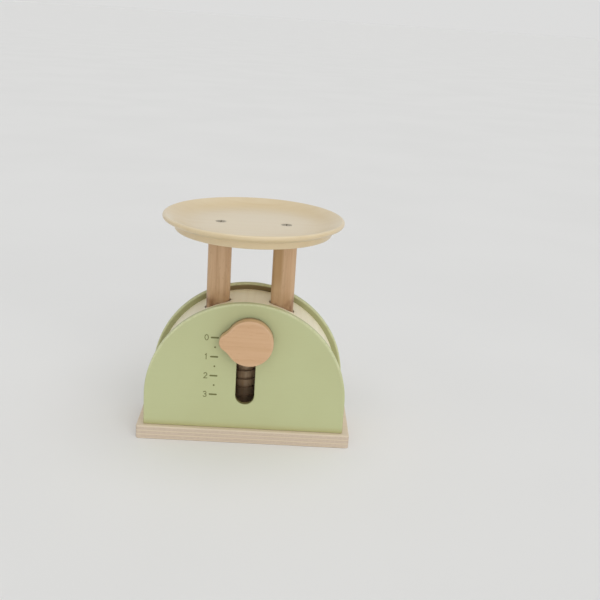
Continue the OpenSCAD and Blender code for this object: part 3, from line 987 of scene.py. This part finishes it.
def dish(material):
    """The turned dish, with a painted highlight along the top of its rim."""
    bm = new_mesh()
    profile = dish_profile()
    rim_highlight_z = DISH_HIGH.z - RIM_HIGHLIGHT_H
    wear_and_highlight_values = [1.0 if z > rim_highlight_z else 0.0 for r, z in profile]
    rings = add_lathe(bm, profile, DISH_STEPS, wear_and_highlight_values)
    faces = ([], [])
    add_bounds(bm, faces, rings[0], rings[-1])
    floor_z = DISH_LOW.z + DISH_FLOOR_T
    for x in (-DISH_SCREW_X, DISH_SCREW_X):
        add_screw_hole(bm, faces, (x, 0), DISH_SCREW_HEAD, DISH_LOW.z, floor_z, up=True)
    close_faces(bm, faces)
    make_piece("dish_turned", bm, material, CARRIAGE, ["dish"])


def post(side, material):
    """One of the two upright bars under the dish."""
    node = f"{side}_post"
    low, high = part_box(node)
    bm = new_mesh()
    middle = (low + high) / 2
    size = high - low
    outline = rounded_rectangle((middle.x, middle.y), size.x, size.y, POST_EDGE_R)
    close_faces(bm, add_slab(bm, outline, low.z, high.z, POST_END_R, flat))
    make_piece(f"{side}_post_beech", bm, material, CARRIAGE, [node])


def pointer(material):
    """The round pointer with its nose to the left."""
    bm = new_mesh()
    faces = add_slab(bm, pointer_outline(), POINTER_LOW.y, POINTER_HIGH.y, POINTER_EDGE_R, upright)
    close_faces(bm, faces)
    make_piece("pointer_beech", bm, material, CARRIAGE, ["pointer"])


def spring(material):
    """A round wire on the coil's line: one closed turn, open turns, one closed turn."""
    low = SPRING_LOW.z + WIRE_R
    run = SPRING_HIGH.z - SPRING_LOW.z - 2 * WIRE_R
    open_pitch = (run - 2 * CLOSED_PITCH) / OPEN_COILS
    turns = OPEN_COILS + 2
    bm = new_mesh()
    rings = []
    for i in range(turns * COIL_STEPS + 1):
        turn = i / COIL_STEPS
        open_part = max(0.0, min(turn - 1, OPEN_COILS))
        height = low + (turn - open_part) * CLOSED_PITCH + open_part * open_pitch
        angle = COIL_START + math.tau * turn
        points = []
        for out, up in circle((0, 0), WIRE_R, WIRE_SIDES):
            reach = COIL_R + out
            points.append((reach * math.cos(angle), reach * math.sin(angle), height + up))
        rings.append(add_ring(bm, points, 0))
    for ring_a, ring_b in zip(rings, rings[1:]):
        bridge(bm, ring_a, ring_b)
    bm.faces.new(rings[0])
    bm.faces.new(rings[-1])
    piece = make_piece("spring_wire", bm, material, HOUSING, ["spring"])
    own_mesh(piece)


def carried_nodes(materials):
    """Gives each solid that stays its material."""
    looks = {
        "arch_cover": "bent_ply",
        "guide_dowel": "dowel", "pointer_peg": "peg",
        "left_spacer_dowel": "peg", "right_spacer_dowel": "peg",
        "dowel_bridge": "pine", "crossbar": "pine",
        "left_stop_block": "pine", "right_stop_block": "pine",
        "left_cover_cleat": "pine", "right_cover_cleat": "pine",
        "base_screws": "screw", "post_screws": "screw", "dish_screws": "screw",
        "lower_washer": "washer", "upper_washer": "washer",
    }
    for node, look in looks.items():
        slots = frame["nodes"][node].data.materials
        slots.clear()
        slots.append(materials[look])


# Printed scale

def stroke_outline(path, width):
    """The outline round an open path, with round ends, counter-clockwise."""
    half = width / 2
    points = [Vector(p) for p in path]
    left, right = [], []
    for i, here in enumerate(points):
        before = (here - points[i - 1]).normalized() if i else (points[1] - here).normalized()
        after = (points[i + 1] - here).normalized() if i + 1 < len(points) else before
        normal = Vector((-before.y - after.y, before.x + after.x)) / (1 + before.dot(after))
        left.append(tuple(here + normal * half))
        right.append(tuple(here - normal * half))
    start_angle = math.degrees(math.atan2(*(points[1] - points[0]).yx))
    end_angle = math.degrees(math.atan2(*(points[-1] - points[-2]).yx))
    end_cap = arc(points[-1], half, end_angle - 90, end_angle + 90, CAP_STEPS)[1:-1]
    start_cap = arc(points[0], half, start_angle + 90, start_angle + 270, CAP_STEPS)[1:-1]
    return right + end_cap + left[::-1] + start_cap


def ellipse(centre, rx, ry, start, end, steps):
    """Points on part of an ellipse, with angles in degrees."""
    return [(centre[0] + x * rx, centre[1] + y * ry) for x, y in arc((0, 0), 1, start, end, steps)]


def digit_paths(digit, x, z):
    """Open paths of the numeral 1, 2 or 3, centred on x and z, in shares of half its size."""
    a = (DIGIT_W - DIGIT_STROKE) / 2
    b = (DIGIT_H - DIGIT_STROKE) / 2
    if digit == 1:
        return [[(x - a * 0.55, z + b * 0.62), (x + a * 0.1, z + b), (x + a * 0.1, z - b)]]
    if digit == 2:
        bowl = ellipse((x, z + b * 0.45), a * 0.9, b * 0.55, 165, -35, DIGIT_STEPS)
        return [bowl + [(x - a * 0.95, z - b), (x + a, z - b)]]
    upper = ellipse((x - a * 0.08, z + b * 0.5), a * 0.82, b * 0.5, 150, -90, DIGIT_STEPS)
    lower = ellipse((x - a * 0.08, z - b * 0.48), a * 0.95, b * 0.52, 90, -150, DIGIT_STEPS)
    return [upper, lower]


def scale_marks(material):
    """Ticks, half-way dots and the numerals 0 to 3, just proud of the front panel."""
    bm = new_mesh()
    back = FRONT_LOW.y - PRINT_LIFT
    front = back - PRINT_T
    edge_r = PRINT_T / 4

    def stamp(outline, holes=()):
        close_faces(bm, add_slab(bm, outline, front, back, edge_r, upright, holes))

    spacing = TRAVEL / (MARK_COUNT - 1)
    for mark in range(MARK_COUNT):
        z = ZERO_Z - mark * spacing
        x = TICK_RIGHT_X - TICK_LENGTH
        stamp(stroke_outline([(x + TICK_W / 2, z), (TICK_RIGHT_X - TICK_W / 2, z)], TICK_W))
        if mark + 1 < MARK_COUNT:
            stamp(circle((DOT_X, z - spacing / 2), DOT_R, DOT_STEPS))
        if mark:
            for path in digit_paths(mark, DIGIT_X, z):
                stamp(stroke_outline(path, DIGIT_STROKE))
            continue
        outer, inner = [
            ellipse((DIGIT_X, z), DIGIT_W / 2 - d, DIGIT_H / 2 - d, 0, 360, ZERO_STEPS)[:-1]
            for d in (0, DIGIT_STROKE)]
        stamp(outer, [inner])
    make_piece("scale_print", bm, material, HOUSING)


# Floor, light and camera

FLOOR_HALF = 60.0
SOFT_LIGHTS = [
    # Name, direction it comes from, width in degrees, strength
    ("overhead_light", (0.12, -0.2, 1.0), 60, 1.14),
    ("right_light", (0.42, -0.9, 0.3), 40, 0.53),
]
HORIZON_COLOUR = (0.72, 0.72, 0.715, 1.0)
ZENITH_COLOUR = (0.28, 0.28, 0.28, 1.0)
HORIZON_TOP = 0.15

CAMERA_AIM = Vector((46.8, 0, 131.7)) * MM
CAMERA_DISTANCE = 855 * MM
CAMERA_AZIMUTH = -2.0
CAMERA_ELEVATION = 17.5
CAMERA_ROLL = 3.8
IMAGE_PIXELS = 600
FOCAL_PIXELS = 909
SENSOR_MM = 36


def make_floor():
    """A wide pale floor, out to the horizon."""
    bm = bmesh.new()
    corners = [(-1, -1), (1, -1), (1, 1), (-1, 1)]
    bm.faces.new([bm.verts.new((x * FLOOR_HALF, y * FLOOR_HALF, 0)) for x, y in corners])
    mesh = bpy.data.meshes.new("floor")
    bm.to_mesh(mesh)
    bm.free()
    floor = bpy.data.objects.new("floor", mesh)
    bpy.context.scene.collection.objects.link(floor)
    shader = Shader("floor_paper")
    shade = shader.noise(3)
    cloud = shader.spread(shade, 0.3, 0.7)
    shader.surface(
        Base_Color=shader.mix(cloud, FLOOR_CLOUD, FLOOR_PALE),
        Roughness=0.85,
        Specular_IOR_Level=0.2,
    )
    mesh.materials.append(shader.material)


def make_lights():
    """A pale world that darkens upwards, and two wide, soft lights."""
    world = bpy.data.worlds.new("studio")
    world.use_nodes = True
    nodes = world.node_tree.nodes
    links = world.node_tree.links
    place = nodes.new("ShaderNodeTexCoord")
    axes = nodes.new("ShaderNodeSeparateXYZ")
    links.new(place.outputs["Generated"], axes.inputs[0])
    rise = nodes.new("ShaderNodeMapRange")
    rise.inputs["From Min"].default_value = HORIZON_TOP
    links.new(axes.outputs["Z"], rise.inputs["Value"])
    fade = nodes.new("ShaderNodeMix")
    fade.data_type = "RGBA"
    fade.inputs[6].default_value = HORIZON_COLOUR
    fade.inputs[7].default_value = ZENITH_COLOUR
    links.new(rise.outputs["Result"], fade.inputs["Factor"])
    links.new(fade.outputs[2], nodes["Background"].inputs["Color"])
    bpy.context.scene.world = world
    for name, direction, width, strength in SOFT_LIGHTS:
        light = bpy.data.lights.new(name, "SUN")
        light.angle = math.radians(width)
        light.energy = strength
        lamp = bpy.data.objects.new(name, light)
        lamp.rotation_euler = Vector(direction).to_track_quat("Z", "Y").to_euler()
        bpy.context.scene.collection.objects.link(lamp)


def make_camera():
    """The camera, placed round its aim by angles in degrees, with a roll."""
    azimuth = math.radians(CAMERA_AZIMUTH)
    elevation = math.radians(CAMERA_ELEVATION)
    roll = math.radians(CAMERA_ROLL)
    back = Vector((
        math.sin(azimuth) * math.cos(elevation),
        -math.cos(azimuth) * math.cos(elevation),
        math.sin(elevation),
    ))
    right = (-back).cross(Vector((0, 0, 1))).normalized()
    up = right.cross(-back)
    tilted_right = right * math.cos(roll) + up * math.sin(roll)
    tilted_up = up * math.cos(roll) - right * math.sin(roll)
    data = bpy.data.cameras.new("camera")
    data.sensor_width = SENSOR_MM
    data.lens = FOCAL_PIXELS / IMAGE_PIXELS * SENSOR_MM
    camera = bpy.data.objects.new("camera", data)
    turn = Matrix((tilted_right, tilted_up, back)).transposed().to_4x4()
    camera.matrix_world = Matrix.Translation(CAMERA_AIM + back * CAMERA_DISTANCE) @ turn
    bpy.context.scene.collection.objects.link(camera)
    bpy.context.scene.camera = camera


def build():
    """Makes every piece, its material and the studio."""
    paint = green_paint()
    post_look = beech()
    base_board(plywood())
    front_panel(paint)
    back_panel(paint)
    dish(dish_wood())
    for side in ("left", "right"):
        post(side, post_look)
    pointer(pointer_wood())
    spring(spring_steel())
    scale_marks(ink())
    carried_nodes({
        "bent_ply": bent_plywood(),
        "dowel": beech_dowel(),
        "peg": beech_lengthwise(),
        "pine": pine(),
        "screw": screw_steel(),
        "washer": washer_steel(),
    })
    make_floor()
    make_lights()
    make_camera()
    bpy.context.scene.view_settings.view_transform = "Standard"


build()
